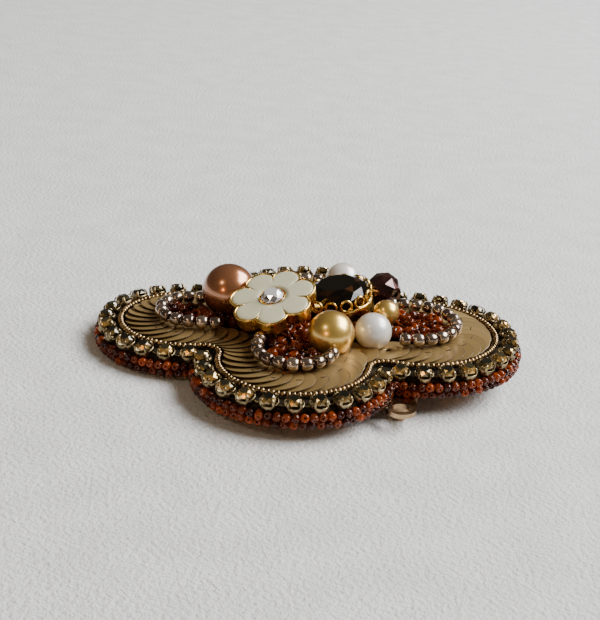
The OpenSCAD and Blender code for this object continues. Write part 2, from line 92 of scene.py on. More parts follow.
def heading(lobe):
    """Direction from the middle of the brooch to a lobe."""
    x, y, _ = LOBES[lobe]
    return math.atan2(y, x)


def notch(lobe, grow):
    """Where the outline of a lobe, grown by that much, meets the next lobe's."""
    x1, y1, r1 = LOBES[lobe]
    x2, y2, r2 = LOBES[(lobe + 1) % 4]
    r1, r2, length = r1 + grow, r2 + grow, math.hypot(x2 - x1, y2 - y1)
    along = (r1 * r1 - r2 * r2 + length * length) / (2 * length)
    out = math.sqrt(r1 * r1 - along * along)
    ux, uy = (x2 - x1) / length, (y2 - y1) / length
    return x1 + along * ux + out * uy, y1 + along * uy - out * ux


def lobe_span(lobe, grow):
    """First and last angle of a lobe's free edge, from the lobe's own heading."""
    x, y, _ = LOBES[lobe]
    ends = []
    for px, py in (notch((lobe + 3) % 4, grow), notch(lobe, grow)):
        angle = math.atan2(py - y, px - x) - heading(lobe)
        ends.append(math.atan2(math.sin(angle), math.cos(angle)))
    return ends


def on_lobe(lobe, grow, angle, z=0.0):
    """A point on a lobe's edge, grown by that much, at an angle from the lobe's heading."""
    x, y, r = LOBES[lobe]
    a = heading(lobe) + angle
    return Vector((x + (r + grow) * math.cos(a), y + (r + grow) * math.sin(a), z))


def outline(grow, z, steps=60):
    """Points round the whole brooch, the same number on each lobe."""
    ring = []
    for lobe in range(4):
        first, last = lobe_span(lobe, grow)
        ring += [on_lobe(lobe, grow, first + (last - first) * k / steps, z) for k in range(steps)]
    return ring


def skin(rings, capped=True):
    """Vertices and faces through closed rings of points, from the first ring to the last."""
    n = len(rings[0])
    points = [p for ring in rings for p in ring]
    faces = [(r * n + k, r * n + (k + 1) % n, (r + 1) * n + (k + 1) % n, (r + 1) * n + k)
             for r in range(len(rings) - 1) for k in range(n)]
    if capped:
        faces.append(tuple(range(n))[::-1])
        faces.append(tuple((len(rings) - 1) * n + k for k in range(n)))
    return points, faces


def make_piece(name, points, faces, lie=True, smooth=True, edges=()):
    """A mesh object. Where lie is true it's one of the brooch's pieces, put where it lies."""
    mesh = bpy.data.meshes.new(name)
    mesh.from_pydata([tuple(p) for p in points], list(edges), [tuple(f) for f in faces])
    if lie:
        mesh.transform(LYING)
    mesh.shade_smooth() if smooth else mesh.shade_flat()
    return add_object(name, mesh)


def add_node(tree, kind, sockets, **settings):
    """A node with its settings, and its sockets set or linked by name or number."""
    made = tree.nodes.new(kind)
    for key, value in settings.items():
        setattr(made, key, value)
    for key, value in sockets.items():
        if isinstance(value, bpy.types.NodeSocket):
            tree.links.new(value, made.inputs[key])
        else:
            made.inputs[key].default_value = value
    return made


def add_math(tree, operation, *values):
    """The result of a sum on numbers and sockets."""
    return add_node(tree, "ShaderNodeMath", dict(enumerate(values)), operation=operation).outputs[0]


def add_blend(tree, share, dark, light):
    """The colour between two others."""
    return add_node(tree, "ShaderNodeMix", {0: share, 6: dark, 7: light}, data_type="RGBA").outputs[2]


def add_range(tree, value, first, last, low=0.0, high=1.0):
    """A value moved from one range to another."""
    return add_node(tree, "ShaderNodeMapRange", {
        "Value": value, "From Min": first, "From Max": last, "To Min": low, "To Max": high}).outputs[0]


def new_finish(name, sockets):
    """A material with one Principled shader."""
    finish = bpy.data.materials.new(name)
    finish.use_nodes = True
    for key, value in sockets.items():
        finish.node_tree.nodes["Principled BSDF"].inputs[key].default_value = value
    return finish


def add_to_finish(finish, kind, sockets, links, **settings):
    """A node in a material, with its outputs linked to the shader's inputs."""
    tree = finish.node_tree
    made = add_node(tree, kind, sockets, **settings)
    for output, target in links.items():
        tree.links.new(made.outputs[output], tree.nodes["Principled BSDF"].inputs[target])
    return made


def group_tree(name, tree_kind, inputs, outputs):
    """A node group of (name, type, default) inputs and (name, type) outputs, and both ends' sockets."""
    tree = bpy.data.node_groups.new(name, tree_kind)
    for label, kind, value in inputs:
        made = tree.interface.new_socket(name=label, in_out="INPUT", socket_type="NodeSocket" + kind)
        if value is not None:
            made.default_value = value
    for label, kind in outputs:
        tree.interface.new_socket(name=label, in_out="OUTPUT", socket_type="NodeSocket" + kind)
    return tree, tree.nodes.new("NodeGroupInput").outputs, tree.nodes.new("NodeGroupOutput").inputs


# Two colours that wander into each other, with a roughness that follows them and a fine grain
PATCH_RANGE = (0.32, 0.68)
mottle, mottle_in, mottle_out = group_tree(
    "mottle", "ShaderNodeTree",
    [("Scale", "Float", 500.0), ("Grain", "Float", 3000.0),
     ("Dark", "Color", None), ("Light", "Color", None),
     ("Low", "Float", 0.3), ("High", "Float", 0.6)],
    [("Color", "Color"), ("Value", "Float"), ("Height", "Float")])
on_piece = add_node(mottle, "ShaderNodeTexCoord", {})
patches = add_node(mottle, "ShaderNodeTexNoise", {
    "Vector": on_piece.outputs["Object"], "Scale": mottle_in["Scale"], "Detail": 4.0})
grains = add_node(mottle, "ShaderNodeTexNoise", {
    "Vector": on_piece.outputs["Object"], "Scale": mottle_in["Grain"], "Detail": 3.0,
    "Roughness": 0.6})
share = add_range(mottle, patches.outputs[0], *PATCH_RANGE)
mottle.links.new(add_blend(mottle, share, mottle_in["Dark"], mottle_in["Light"]), mottle_out["Color"])
mottle.links.new(add_range(mottle, patches.outputs[0], *PATCH_RANGE, mottle_in["Low"], mottle_in["High"]),
                 mottle_out["Value"])
mottle.links.new(grains.outputs[0], mottle_out["Height"])


def add_mottle(finish, scale, grain, colours, rough, bump=0.0, depth=0.0):
    """Mottles a material: two colours, two roughnesses, and a bump of that depth in millimetres."""
    values = {"Scale": scale, "Grain": grain, "Low": rough[0], "High": rough[1]}
    links = {"Value": "Roughness"}
    if colours:
        values["Dark"], values["Light"] = [(*colour, 1) for colour in colours]
        links["Color"] = "Base Color"
    made = add_to_finish(finish, "ShaderNodeGroup", values, links, node_tree=mottle)
    if bump:
        add_to_finish(finish, "ShaderNodeBump", {
            "Strength": bump, "Distance": depth * 0.001, "Height": made.outputs["Height"]},
            {"Normal": "Normal"})


# How far each ring lies past the lobes, and its height
leather_rings = [(-0.75, -0.26), (-0.35, LEATHER_FOOT), (-0.05, -0.27), (0.1, -0.12), (FELT_GROW, 0.1),
                 (FELT_GROW, 0.5), (0.1, 0.74), (-0.1, 0.84)]
leather = make_piece("leather_back", *skin([outline(past, z) for past, z in leather_rings]))
leather_finish = new_finish("brown_leather", {"Specular IOR Level": 0.35})
add_mottle(leather_finish, 260, 2400, ((0.115, 0.05, 0.024), (0.21, 0.098, 0.05)), (0.5, 0.75), 0.5, 0.12)
leather.data.materials.append(leather_finish)
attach(leather, "root")
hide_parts("leather_backing")


# Felt
# Stiff dark felt that everything is sewn to. Its rim slopes down a little under the cup chain,
# where the stitches pull it, and its cut edge is soft and slightly uneven.

RIPPLE = 0.02


def felt_ring(past, z, uneven):
    """The outline at that height, a little uneven where it's cut."""
    ring = outline(past, z)
    if uneven:
        for k, point in enumerate(ring):
            point.z += RIPPLE * math.sin(k * 1.7 + past * 9)
    return ring


felt_rings = [(0.02, 0.93, True), (0.12, 1.0, True), (0.17, 1.3, True), (0.14, 1.66, True),
              (0.02, 1.79, True), (-0.9, 2.02, False), (-1.5, 2.18, False), (-1.8, 2.24, False)]
felt = make_piece("felt_ground", *skin([felt_ring(*ring) for ring in felt_rings]))
felt_finish = new_finish("dark_felt", {
    "Specular IOR Level": 0.1, "Sheen Weight": 0.04, "Sheen Roughness": 0.6})
add_mottle(felt_finish, 700, 5200, ((0.011, 0.007, 0.003), (0.03, 0.019, 0.009)), (0.9, 1.0), 0.9, 0.1)
felt.data.materials.append(felt_finish)
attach(felt, "root")
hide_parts("felt_base")


# Edge beads
# Two rows of clear red-amber glass seed beads, sewn side by side over the cut edge of the felt and
# the leather. Their holes point outwards, and the lower row is tucked under the upper one.

def lathe(profile, sides):
    """A shape turned about Z from (radius, height) points that close on themselves."""
    n = len(profile)
    points, faces = [], []
    for k in range(sides):
        c, s = math.cos(2 * math.pi * k / sides), math.sin(2 * math.pi * k / sides)
        points += [Vector((r * c, r * s, h)) for r, h in profile]
        here, there = k * n, ((k + 1) % sides) * n
        faces += [(here + j, there + j, there + (j + 1) % n, here + (j + 1) % n) for j in range(n)]
    return points, faces


def bead_shape(name, diameter, length, hole, sides, steps):
    """A round bead to copy from, with a hole along Z whose mouths lie a little inside."""
    r, half = diameter / 2, length / 2
    profile = []
    for k in range(steps):
        a = math.pi * (k / (steps - 1) - 0.5)
        profile.append((hole + (r - hole) * max(math.cos(a), 0) ** 0.62, half * math.sin(a)))
    profile[0], profile[-1] = (hole, -0.93 * half), (hole, 0.93 * half)
    return pattern_shape(name, *lathe(profile, sides))


def recalculate(piece):
    """Turns a closed mesh's faces outwards."""
    work = bmesh.new()
    work.from_mesh(piece.data)
    bmesh.ops.remove_doubles(work, verts=work.verts, dist=1e-7)
    bmesh.ops.recalc_face_normals(work, faces=work.faces)
    work.to_mesh(piece.data)
    work.free()


pattern_shapes = []


def pattern_shape(name, points, faces, smooth=True):
    """A closed shape that's only copied from, and is removed before the end."""
    shape = make_piece(name, points, faces, lie=False, smooth=smooth)
    recalculate(shape)
    shape.hide_render = True
    pattern_shapes.append(shape)
    return shape


def geometry_tree(name, inputs):
    return group_tree(name, "GeometryNodeTree", [("Geometry", "Geometry", None)] + inputs,
                      [("Geometry", "Geometry")])


def end_tree(tree, inside, outside, copies):
    """Each copy gets its own tone from 0 to 1, then all become one mesh with the finish."""
    chance = add_node(tree, "FunctionNodeRandomValue", {"Seed": inside["Seed"]}, data_type="FLOAT")
    toned = add_node(tree, "GeometryNodeStoreNamedAttribute", {
        "Geometry": copies, "Name": "tone", "Value": chance.outputs[1]}, data_type="FLOAT", domain="INSTANCE")
    real = add_node(tree, "GeometryNodeRealizeInstances", {"Geometry": toned.outputs[0]})
    dressed = add_node(tree, "GeometryNodeSetMaterial", {
        "Geometry": real.outputs[0], "Material": inside["Finish"]})
    tree.links.new(dressed.outputs[0], outside["Geometry"])


# A row of shapes along a line, spaced evenly and each a little different. Their Z runs along the
# line, or across it where Across is on.
row_tree, row_in, row_out = geometry_tree("row_along_a_thread", [
    ("Shape", "Object", None), ("Pitch", "Float", 1.5),
    ("Size spread", "Float", 0.05), ("Tilt spread", "Float", 0.1),
    ("Tilt", "Float", 0.0), ("Across", "Bool", False),
    ("Seed", "Int", 1), ("Finish", "Material", None)])
as_line = add_node(row_tree, "GeometryNodeMeshToCurve", {0: row_in["Geometry"]})
spaced = add_node(row_tree, "GeometryNodeResampleCurve", {
    "Curve": as_line.outputs[0], "Length": row_in["Pitch"]}, mode="LENGTH")
tangent = add_node(row_tree, "GeometryNodeInputTangent", {})
outwards = add_node(row_tree, "ShaderNodeVectorMath", {0: tangent.outputs[0], 1: (0, 0, 1)},
                    operation="CROSS_PRODUCT")
threaded = add_node(row_tree, "GeometryNodeSwitch", {
    0: row_in["Across"], 1: tangent.outputs[0], 2: outwards.outputs[0]}, input_type="VECTOR")
facing = add_node(row_tree, "FunctionNodeAlignRotationToVector", {"Vector": threaded.outputs[0]}, axis="Z")
picked = add_node(row_tree, "GeometryNodeObjectInfo", {"Object": row_in["Shape"]})
strung = add_node(row_tree, "GeometryNodeInstanceOnPoints", {
    "Points": spaced.outputs[0], "Instance": picked.outputs["Geometry"], "Rotation": facing.outputs[0]})


def random_about(middle, spread, seed):
    """A random value in the row's tree, up to the spread off the middle."""
    low, high = add_math(row_tree, "SUBTRACT", middle, spread), add_math(row_tree, "ADD", middle, spread)
    return add_node(row_tree, "FunctionNodeRandomValue", {2: low, 3: high, "Seed": seed},
                    data_type="FLOAT").outputs[1]


size = random_about(1.0, row_in["Size spread"], row_in["Seed"])
forth_seed, side_seed = [add_math(row_tree, "ADD", row_in["Seed"], shift) for shift in (11.0, 12.0)]
scaled = add_node(row_tree, "GeometryNodeScaleInstances", {"Instances": strung.outputs[0], "Scale": size})
roll = add_node(row_tree, "FunctionNodeRandomValue", {2: 0.0, 3: 2 * math.pi, "Seed": 5}, data_type="FLOAT")
leaned = add_node(row_tree, "ShaderNodeCombineXYZ", {
    0: random_about(row_in["Tilt"], row_in["Tilt spread"], forth_seed),
    1: random_about(0.0, row_in["Tilt spread"], side_seed), 2: roll.outputs[1]})
turned = add_node(row_tree, "GeometryNodeRotateInstances", {
    "Instances": scaled.outputs[0], "Rotation": leaned.outputs[0]})
end_tree(row_tree, row_in, row_out, turned.outputs[0])


def lay_out(name, base, tree, values):
    """A plain piece made by a tree from a base mesh in the brooch's own millimetres."""
    work = base.modifiers.new(name, "NODES")
    work.node_group = tree
    for item in tree.interface.items_tree:
        if item.in_out == "INPUT" and item.name in values:
            work[item.identifier] = values[item.name]
    bpy.context.view_layer.update()
    mesh = bpy.data.meshes.new_from_object(base.evaluated_get(bpy.context.evaluated_depsgraph_get()))
    base.modifiers.remove(work)
    mesh.name = name
    mesh.transform(LYING)
    bpy.data.objects.remove(base)
    return add_object(name, mesh)


def in_row(name, run, values, closed=False):
    """One piece of shapes that follow each other along a run of points."""
    edges = [(k, k + 1) for k in range(len(run) - 1)]
    if closed:
        edges.append((len(run) - 1, 0))
    return lay_out(name, make_piece(name + "_line", run, [], lie=False, edges=edges), row_tree, values)


def join(name, parts, finish):
    """One piece from several, all with that finish."""
    joined = bmesh.new()
    for part in parts:
        joined.from_mesh(part.data)
    mesh = bpy.data.meshes.new(name)
    joined.to_mesh(mesh)
    joined.free()
    mesh.materials.append(finish)
    mesh.polygons.foreach_set("material_index", [0] * len(mesh.polygons))
    for part in parts:
        bpy.data.objects.remove(part)
    return add_object(name, mesh)


# Each copy in a row is a little darker or lighter than the next
tones, tones_in, tones_out = group_tree(
    "tone_of_each", "ShaderNodeTree",
    [("Dark", "Color", None), ("Light", "Color", None),
     ("Bias", "Float", 1.0)], [("Color", "Color")])
own_tone = add_node(tones, "ShaderNodeAttribute", {}, attribute_name="tone")
biased = add_math(tones, "POWER", own_tone.outputs["Fac"], tones_in["Bias"])
tones.links.new(add_blend(tones, biased, tones_in["Dark"], tones_in["Light"]), tones_out["Color"])


def add_tones(finish, dark, light, bias):
    """Colours each copy between dark and light; a bias over 1 makes more of them dark."""
    add_to_finish(finish, "ShaderNodeGroup", {"Dark": (*dark, 1), "Light": (*light, 1), "Bias": bias},
                  {"Color": "Base Color"}, node_tree=tones)


amber_finish = new_finish("amber_glass", {
    "Transmission Weight": 0.6, "IOR": 1.45, "Roughness": 0.12, "Specular IOR Level": 0.2})
add_tones(amber_finish, (0.07, 0.008, 0.003), (0.62, 0.10, 0.008), 1.6)

UPPER_ROW_Z, LOWER_ROW_Z = 1.08, 0.06
LOWEST_AT_MIDDLE = -1.42
upper_line, lower_line = outline(0.8, UPPER_ROW_Z, 40), outline(0.74, LOWER_ROW_Z, 40)
# The table rises along the leaning brooch towards its left tip, and pushes the lower row up there
for point in lower_line:
    point.z = max(point.z, LOWEST_AT_MIDDLE - math.tan(lean) * point.x)
edge_rows = []
for name, line, diameter, length, pitch, spread, seed in (
        ("edge_upper", upper_line, 1.16, 1.2, 1.17, 0.05, 3),
        ("edge_lower", lower_line, 1.14, 1.16, 1.14, 0.06, 8)):
    edge_rows.append(in_row(name, line, {
        "Shape": bead_shape(name + "_bead", diameter, length, 0.17, 10, 6), "Pitch": pitch,
        "Size spread": spread, "Tilt spread": 0.5, "Across": True, "Seed": seed,
        "Finish": amber_finish}, closed=True))
edge_beads = join("amber_edge", edge_rows, amber_finish)
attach(edge_beads, "root")
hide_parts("edge_beads")


# Cup chain
# A soldered chain of small metal cups in pale antique gold. Each cup has a low round wall and four
# claws that are pressed over the stone, and a short link joins it to the next. It leans outwards.

CHAIN_PITCH = 3.2
CUP_GROW = -0.45
# The cups and their stones show a tenth larger than the stock size that they're drawn in
CUP_SIZE = (1.1, 1.1, 1.1)
FROM_NOTCH = 2.4
CUP_ACROSS, LINK_RISE = 2.3, 0.13
# The felt's shoulder, which the cups stand on, rises by 0.5 over 1.85 from the height of its edge
CUP_LEAN = math.atan2(0.5, 1.85)
FELT_EDGE_TOP = 1.75
CUP_FOOT = FELT_EDGE_TOP + (FELT_GROW - CUP_GROW) * math.tan(CUP_LEAN) + 0.05


def cup_angles(lobe):
    """Where the cups stand on a lobe, spread evenly over its edge."""
    r = LOBES[lobe][2]
    first, last = lobe_span(lobe, CUP_GROW)
    first, last = first + FROM_NOTCH / r, last - FROM_NOTCH / r
    count = round((last - first) * r / CHAIN_PITCH)
    return [first + (last - first) * k / count for k in range(count + 1)]


# A shape on every point, with the turn and the size that the point carries
spot_tree, spot_in, spot_out = geometry_tree("shape_on_each_spot", [
    ("Shape", "Object", None), ("Seed", "Int", 1),
    ("Finish", "Material", None)])
turn_of, size_of = [add_node(spot_tree, "GeometryNodeInputNamedAttribute", {"Name": label},
                             data_type="FLOAT_VECTOR") for label in ("turn", "size")]
as_turn = add_node(spot_tree, "FunctionNodeEulerToRotation", {0: turn_of.outputs[0]})
picked = add_node(spot_tree, "GeometryNodeObjectInfo", {"Object": spot_in["Shape"]})
placed = add_node(spot_tree, "GeometryNodeInstanceOnPoints", {
    "Points": spot_in["Geometry"], "Instance": picked.outputs["Geometry"],
    "Rotation": as_turn.outputs[0], "Scale": size_of.outputs[0]})
end_tree(spot_tree, spot_in, spot_out, placed.outputs[0])


def on_spots(name, spots, shape, seed, finish):
    """One piece of copies of a shape, from the place, turn and size of each."""
    places, turns, sizes = zip(*spots)
    base = make_piece(name + "_marks", places, [], lie=False)
    for label, values in (("turn", turns), ("size", sizes)):
        carried = base.data.attributes.new(label, "FLOAT_VECTOR", "POINT")
        for k, value in enumerate(values):
            carried.data[k].vector = tuple(value)
    return lay_out(name, base, spot_tree, {"Shape": shape, "Seed": seed, "Finish": finish})


cup_spots = []
for lobe in range(4):
    for a in cup_angles(lobe):
        turn = Matrix.Rotation(heading(lobe) + a, 3, "Z") @ Matrix.Rotation(CUP_LEAN, 3, "Y")
        cup_spots.append((on_lobe(lobe, CUP_GROW, a, CUP_FOOT), turn.to_euler(), CUP_SIZE))
link_spots = []
for k, (here, _, _) in enumerate(cup_spots):
    there = cup_spots[(k + 1) % len(cup_spots)][0]
    away = there - here
    middle = (here + there) / 2 + Vector((0, 0, LINK_RISE))
    link_spots.append((middle, (0, 0, math.atan2(away.y, away.x)), (away.length - CUP_ACROSS, 1, 1)))

cup_points, cup_faces = lathe([(1.14, 0.0), (1.2, 0.08), (1.2, 0.62), (1.16, 0.7), (1.08, 0.66),
                               (1.05, 0.13), (0.02, 0.12), (0.02, 0.0)], 16)
# A claw from its foot to its tip: distance from the middle, height, thickness and half width
claw_path = [(1.11, 0.30, 0.17, 0.22), (1.13, 0.62, 0.17, 0.21), (1.12, 0.95, 0.16, 0.19),
             (1.03, 1.18, 0.15, 0.17), (0.9, 1.33, 0.12, 0.14), (0.79, 1.38, 0.06, 0.08)]
# Its section, in half thicknesses outwards and half widths across
claw_section = [(-1, -1), (-1, 1), (0.3, 1), (1, 0.55), (1, -0.55), (0.3, -1)]
for q in range(4):
    a = math.radians(45 + 90 * q)
    along, across = Vector((math.cos(a), math.sin(a), 0)), Vector((-math.sin(a), math.cos(a), 0))
    rings = []
    for j, (r, z, thick, half) in enumerate(claw_path):
        before, after = claw_path[max(j - 1, 0)], claw_path[min(j + 1, len(claw_path) - 1)]
        dr, dz = after[0] - before[0], after[1] - before[1]
        out = (along * dz - Vector((0, 0, dr))).normalized() * thick / 2
        middle = along * r + Vector((0, 0, z))
        rings.append([middle + out * u + across * half * v for u, v in claw_section])
    points, faces = skin(rings)
    cup_faces += [tuple(i + len(cup_points) for i in face) for face in faces]
    cup_points += points
cup_shape = pattern_shape("cup_shape", cup_points, cup_faces)
# A flat oval bar, waisted between the two cups that it joins: place along it and share of its width
link_waist = ((-0.62, 1), (-0.3, 0.8), (0, 0.72), (0.3, 0.8), (0.62, 1))
link_shape = pattern_shape("link_shape", *skin([
    [Vector((x, 0.22 * math.cos(t) * w, 0.12 * math.sin(t) * w))
     for t in (0.4, 1.2, 1.94, 2.74, 3.54, 4.34, 5.08, 5.88)] for x, w in link_waist]))

chain_finish = new_finish("pale_antique_gold", {"Metallic": 1.0})
add_mottle(chain_finish, 900, 6000, ((0.06, 0.043, 0.02), (0.50, 0.39, 0.22)), (0.2, 0.4), 0.3, 0.02)
cups = join("chain_cups", [on_spots("cups", cup_spots, cup_shape, 2, chain_finish),
                           on_spots("links", link_spots, link_shape, 4, chain_finish)], chain_finish)
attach(cups, "root")
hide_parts("cup_chain")


# Chain stones
# Small smoky olive glass stones with a foiled back, one in each cup. Their facets carry painted light: the
# crown facets on the outer side are painted a gold glow, standing in for light off the foil, and the table
# and inner facets are painted dark and grey.

def store_tints(piece, where, tints):
    """Keeps a tint from 0 to 1 for each face or point, for the colour of the facets."""
    kept = piece.data.attributes.new("facet", "FLOAT", where)
    for k, tint in enumerate(tints):
        kept.data[k].value = tint


def cut_shape(name, rows, sides, tint):
    """A cut stone to copy from, out of (radius, height, half steps turned) rows."""
    points = []
    for r, z, half_steps in rows:
        for k in range(sides):
            a = (k + half_steps / 2) * 2 * math.pi / sides
            points.append(Vector((r * math.cos(a), r * math.sin(a), z)))
    faces = [tuple(range(sides))[::-1], tuple((len(rows) - 1) * sides + k for k in range(sides))]
    for j in range(len(rows) - 1):
        a, b = j * sides, (j + 1) * sides
        shift = round(rows[j + 1][2] - rows[j][2])
        for k in range(sides):
            k2 = (k + 1) % sides
            if shift:
                faces += [(a + k, a + k2, b + k), (a + k2, b + k2, b + k)]
            else:
                faces.append((a + k, a + k2, b + k2, b + k))
    shape = pattern_shape(name, points, faces, smooth=False)
    store_tints(shape, "FACE", [tint(face) for face in shape.data.polygons])
    return shape


def is_table(face):
    """True for the flat facet on top of a stone."""
    return face.normal.z > 0.95


def chain_painted_glow(face):
    """Painted light: a gold glow on the outer crown facets, dark on the table and the inner side, with a few
    odd ones.
    """
    odd = 0.5 + 0.5 * math.sin(face.index * 12.9898) * math.cos(face.index * 4.1)
    if is_table(face):
        return 0.12
    return max(0.0, min(1.0, 0.75 * (0.5 + 0.5 * face.normal.x) + 0.6 * odd - 0.1))


chain_stone = cut_shape("chain_stone_shape", [
    (0.12, 0.22, 0), (0.965, 0.88, 1), (0.975, 0.96, 1), (0.8, 1.25, 2), (0.57, 1.48, 3)], 8, chain_painted_glow)

# The tints it reads are painted light and shade: glow and dark on the chain stones, reflections on the clear
# and smoky stones, and shade on the sequins' edges
# Colour of a facet: from the dark colour to the light one by the facet's tint and the copy's tone
facets, facets_in, facets_out = group_tree(
    "facet_colour", "ShaderNodeTree",
    [("Dark", "Color", None), ("Middle", "Color", None),
     ("Light", "Color", None), ("Tone share", "Float", 0.4)],
    [("Color", "Color")])
own_facet = add_node(facets, "ShaderNodeAttribute", {}, attribute_name="facet")
own_tone = add_node(facets, "ShaderNodeAttribute", {}, attribute_name="tone")
centred = add_math(facets, "SUBTRACT", own_tone.outputs["Fac"], 0.5)
tint = add_math(facets, "MULTIPLY_ADD", centred, facets_in["Tone share"], own_facet.outputs["Fac"])
darker = add_blend(facets, add_range(facets, tint, 0.0, 0.5), facets_in["Dark"],
                   facets_in["Middle"])
final = add_blend(facets, add_range(facets, tint, 0.5, 1.0), darker, facets_in["Light"])
facets.links.new(final, facets_out["Color"])


def add_facets(finish, dark, middle, light, share):
    """Colours a cut stone's facets by their tint, and by that share of each copy's own tone."""
    add_to_finish(finish, "ShaderNodeGroup", {
        "Dark": (*dark, 1), "Middle": (*middle, 1), "Light": (*light, 1), "Tone share": share},
        {"Color": "Base Color"}, node_tree=facets)


olive_finish = new_finish("smoky_olive_glass", {
    "Metallic": 0.8, "Roughness": 0.16, "Coat Weight": 1.0, "Coat Roughness": 0.02, "IOR": 1.55})
# The light colour is the painted gold glow on the outer facets
add_facets(olive_finish, (0.022, 0.021, 0.012), (0.15, 0.12, 0.055), (1.0, 0.58, 0.15), 0.6)
stones = on_spots("olive_stones", cup_spots, chain_stone, 6, olive_finish)
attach(stones, "root")
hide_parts("chain_stones")


# Pearl purl
# A hollow wire wound like a string of tiny beads, bronze gold, in one run inside the cups from the
# cut bead round the left lobe to the right one. Its stitches can't be seen.

def lobe_row(lobe, grow, step):
    """Places on a lobe, at least that step apart, and the direction outwards from the row at each."""
    first, last = lobe_span(lobe, 0)
    count = math.floor((last - first) * (LOBES[lobe][2] + grow) / step)
    angles = [first + (last - first) * k / count for k in range(count + 1)]
    return [(on_lobe(lobe, grow, a), heading(lobe) + a) for a in angles]


def notch_row(lobe, grow, step):
    """The same round the notch after a lobe, between its last place and the next lobe's first."""
    corner = Vector((*notch(lobe, 0), 0))
    here, there = [Vector((*LOBES[k][:2], 0)) - corner for k in (lobe, (lobe + 1) % 4)]
    first = math.atan2(here.y, here.x)
    turn = math.remainder(math.atan2(there.y, there.x) - first, 2 * math.pi)
    count = math.floor(abs(turn) * -grow / step)
    angles = [first + turn * k / count for k in range(1, count)]
    return [(corner - grow * Vector((math.cos(b), math.sin(b), 0)), b + math.pi) for b in angles]


purl_shape = bead_shape("purl_turn", 0.84, 0.66, 0.1, 10, 6)
purl_finish = new_finish("bronze_purl", {"Metallic": 1.0})
add_mottle(purl_finish, 1200, 7000, ((0.15, 0.085, 0.033), (0.52, 0.36, 0.18)), (0.2, 0.4), 0.2, 0.02)
PURL_GROW = -2.35
PURL_Z = 2.8
purl_run = []
for lobe in (3, 0, 1, 2):
    purl_run += lobe_row(lobe, PURL_GROW, 0.6)
    if lobe != 2:
        purl_run += notch_row(lobe, PURL_GROW, 0.4)
# The last places lie under the cut bead
purl_run = [spot + Vector((0, 0, PURL_Z)) for spot, _ in purl_run[:-5]]
purl = in_row("purl_rows", purl_run, {
    "Shape": purl_shape, "Pitch": 0.68, "Size spread": 0.02, "Tilt spread": 0.05, "Tilt": 0.2,
    "Seed": 14, "Finish": purl_finish})
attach(purl, "root")
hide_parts("purl_wire")


# Sequins
# Flat satin sequins in champagne beige, sewn round each lobe so that each leans over the next one,
# like roof tiles. Each is a thin disc with a small hole for the thread, and its edge is painted dark, as
# painted shade between them.

SEQUIN_R = 3.0
SEQUIN_GROW = -5.95
SEQUIN_STEP = 1.5
SEQUIN_LEAN = math.radians(10)
FELT_TOP = 2.25
SEQUIN_Z = FELT_TOP + 0.08 + SEQUIN_R * math.sin(SEQUIN_LEAN) + 0.03
# Pearls: x, y and height of the middle, and diameter
PEARLS = {"copper_pearl": (-11.65, 3.35, 6.2, 7.8), "gold_pearl": (4.25, -7.4, 5.5, 6.4),
          "white_pearl": (9.75, -3.9, 4.9, 5.2), "small_gold_pearl": (11.1, 3.7, 4.7, 3.8),
          "back_white_pearl": (3.8, 14.7, 4.95, 5.3)}
CUT_BEAD = (10.15, 11.5, 5.1, 5.6)
ROUNDS = [(Vector((x, y, z)), diameter / 2) for x, y, z, diameter in (*PEARLS.values(), CUT_BEAD)]
SETTING_MIDDLE = Vector((4.1, 6.8))
SETTING_R = 5.0


def has_room(spot):
    """True where a sequin doesn't lie under a pearl, the cut bead or the stone's setting."""
    under_round = any((spot.xy - middle.xy).length <= r - 0.2 for middle, r in ROUNDS)
    return not under_round and (spot.xy - SETTING_MIDDLE).length > SETTING_R + 2.1


sequin_spots = []
for lobe in range(4):
    for spot, out in lobe_row(lobe, SEQUIN_GROW, SEQUIN_STEP) + notch_row(lobe, SEQUIN_GROW, SEQUIN_STEP):
        if has_room(spot):
            turn = Matrix.Rotation(out, 3, "Z") @ Matrix.Rotation(SEQUIN_LEAN, 3, "X")
            sequin_spots.append((spot + Vector((0, 0, SEQUIN_Z)), turn.to_euler(), (1, 1, 1)))
sequin_shape = pattern_shape("sequin_shape", *lathe([
    (0.42, 0.035), (0.42, -0.035), (1.6, -0.05), (2.7, -0.045), (2.97, -0.02), (SEQUIN_R, 0.0),
    (2.97, 0.03), (2.84, 0.03), (1.6, 0.02)], 40))
# Each sequin's edge is painted dark as painted shade where it lies over the next; the rest keeps its satin
# colour
SHADED_EDGE, SATIN = 0.0, 0.75
store_tints(sequin_shape, "POINT", [SHADED_EDGE if vertex.co.xy.length > SEQUIN_R - 0.1 else SATIN
                                    for vertex in sequin_shape.data.vertices])
sequin_finish = new_finish("satin_champagne", {
    "Metallic": 0.5, "Coat Weight": 0.15, "Coat Roughness": 0.25})
add_mottle(sequin_finish, 150, 2500, None, (0.34, 0.42), 0.12, 0.02)
# The dark colour is the painted shade on the edges
add_facets(sequin_finish, (0.10, 0.058, 0.023), (0.30, 0.195, 0.072), (0.40, 0.267, 0.102), 0.45)
sequins = on_spots("sequin_rows", sequin_spots, sequin_shape, 9, sequin_finish)
# A sequin that runs into a pearl ends at it: where a line from its middle enters the pearl
for vertex in sequins.data.vertices:
    middle = LYING @ sequin_spots[vertex.index // len(sequin_shape.data.vertices)][0]
    way = vertex.co - middle
    for pearl_middle, r in ROUNDS:
        from_pearl = middle - LYING @ pearl_middle
        a, b = way.dot(way), way.dot(from_pearl)
        c = from_pearl.dot(from_pearl) - ((r + 0.05) * 0.001) ** 2
        if b < 0 and b * b > a * c > 0:
            vertex.co = middle + way * min(1.0, (-b - math.sqrt(b * b - a * c)) / a)
            way = vertex.co - middle
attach(sequins, "root")
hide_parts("sequins")

